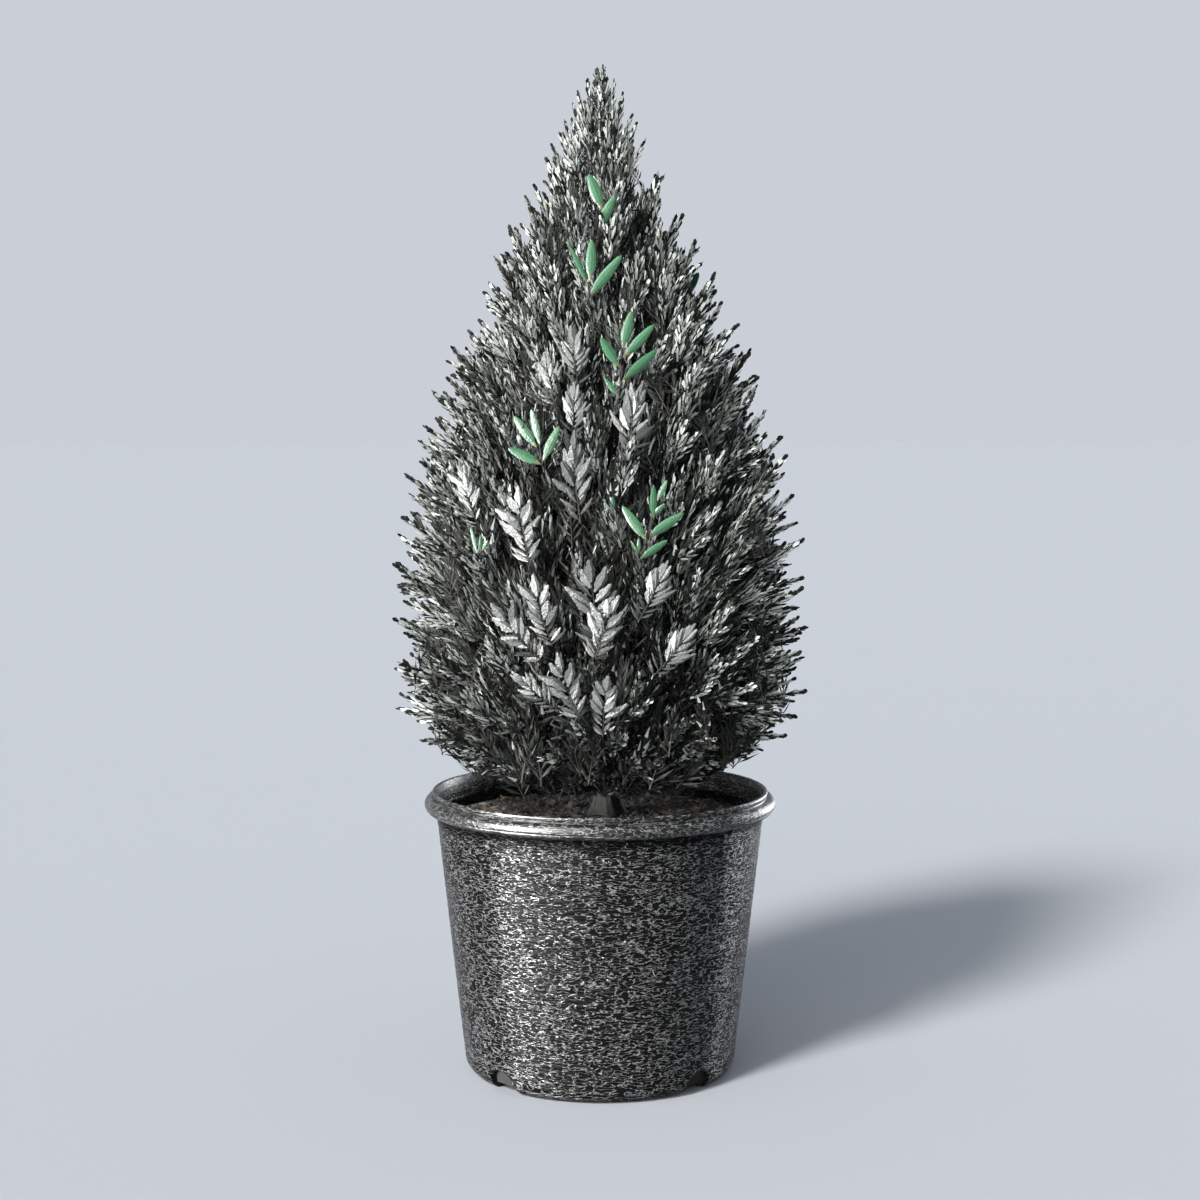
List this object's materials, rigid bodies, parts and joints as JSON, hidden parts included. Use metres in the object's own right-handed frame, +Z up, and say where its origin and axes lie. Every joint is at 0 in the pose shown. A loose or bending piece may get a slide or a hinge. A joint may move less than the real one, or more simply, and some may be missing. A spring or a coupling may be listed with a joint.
{
  "type": "potted arborvitae",
  "caption": "Young conical arborvitae with dense flat sprays on a single straight trunk, standing in a round tapered nursery pot of potting soil.",
  "frame": {"origin": "middle of the pot's flat underside, on the ground", "axes": "+Z up along the trunk, -Y towards the viewer of the picture, +X to the viewer's right"},
  "size_m": [0.3325, 0.3316, 0.801],
  "materials": {
    "pot_plastic": "satin black moulded plastic with fine turned lines and a few scuffs",
    "potting_soil": "damp dark bark compost with crumbs and chips",
    "bark": "thin stringy brown bark",
    "foliage": "dark green scale leaves in flat sprays, paler at the tips, with a waxy sheen"
  },
  "bodies": {
    "root": {"pot": "pot_plastic", "potting_soil": "potting_soil", "trunk": "bark", "bough_1_1": "bark", "bough_1_2": "bark", "bough_1_3": "bark", "bough_1_4": "bark", "bough_1_5": "bark", "bough_1_6": "bark", "bough_2_1": "bark", "bough_2_2": "bark", "bough_2_3": "bark", "bough_2_4": "bark", "bough_2_5": "bark", "bough_2_6": "bark", "bough_3_1": "bark", "bough_3_2": "bark", "bough_3_3": "bark", "bough_3_4": "bark", "bough_3_5": "bark", "bough_4_1": "bark", "bough_4_2": "bark", "bough_4_3": "bark", "bough_4_4": "bark", "foliage_1_1": "foliage", "foliage_1_2": "foliage", "foliage_1_3": "foliage", "foliage_1_4": "foliage", "foliage_1_5": "foliage", "foliage_1_6": "foliage", "foliage_2_1": "foliage", "foliage_2_2": "foliage", "foliage_2_3": "foliage", "foliage_2_4": "foliage", "foliage_2_5": "foliage", "foliage_2_6": "foliage", "foliage_3_1": "foliage", "foliage_3_2": "foliage", "foliage_3_3": "foliage", "foliage_3_4": "foliage", "foliage_3_5": "foliage", "foliage_4_1": "foliage", "foliage_4_2": "foliage", "foliage_4_3": "foliage", "foliage_4_4": "foliage", "foliage_5_1": "foliage", "foliage_5_2": "foliage", "foliage_5_3": "foliage", "foliage_tip": "foliage"}
  },
  "joints": []
}
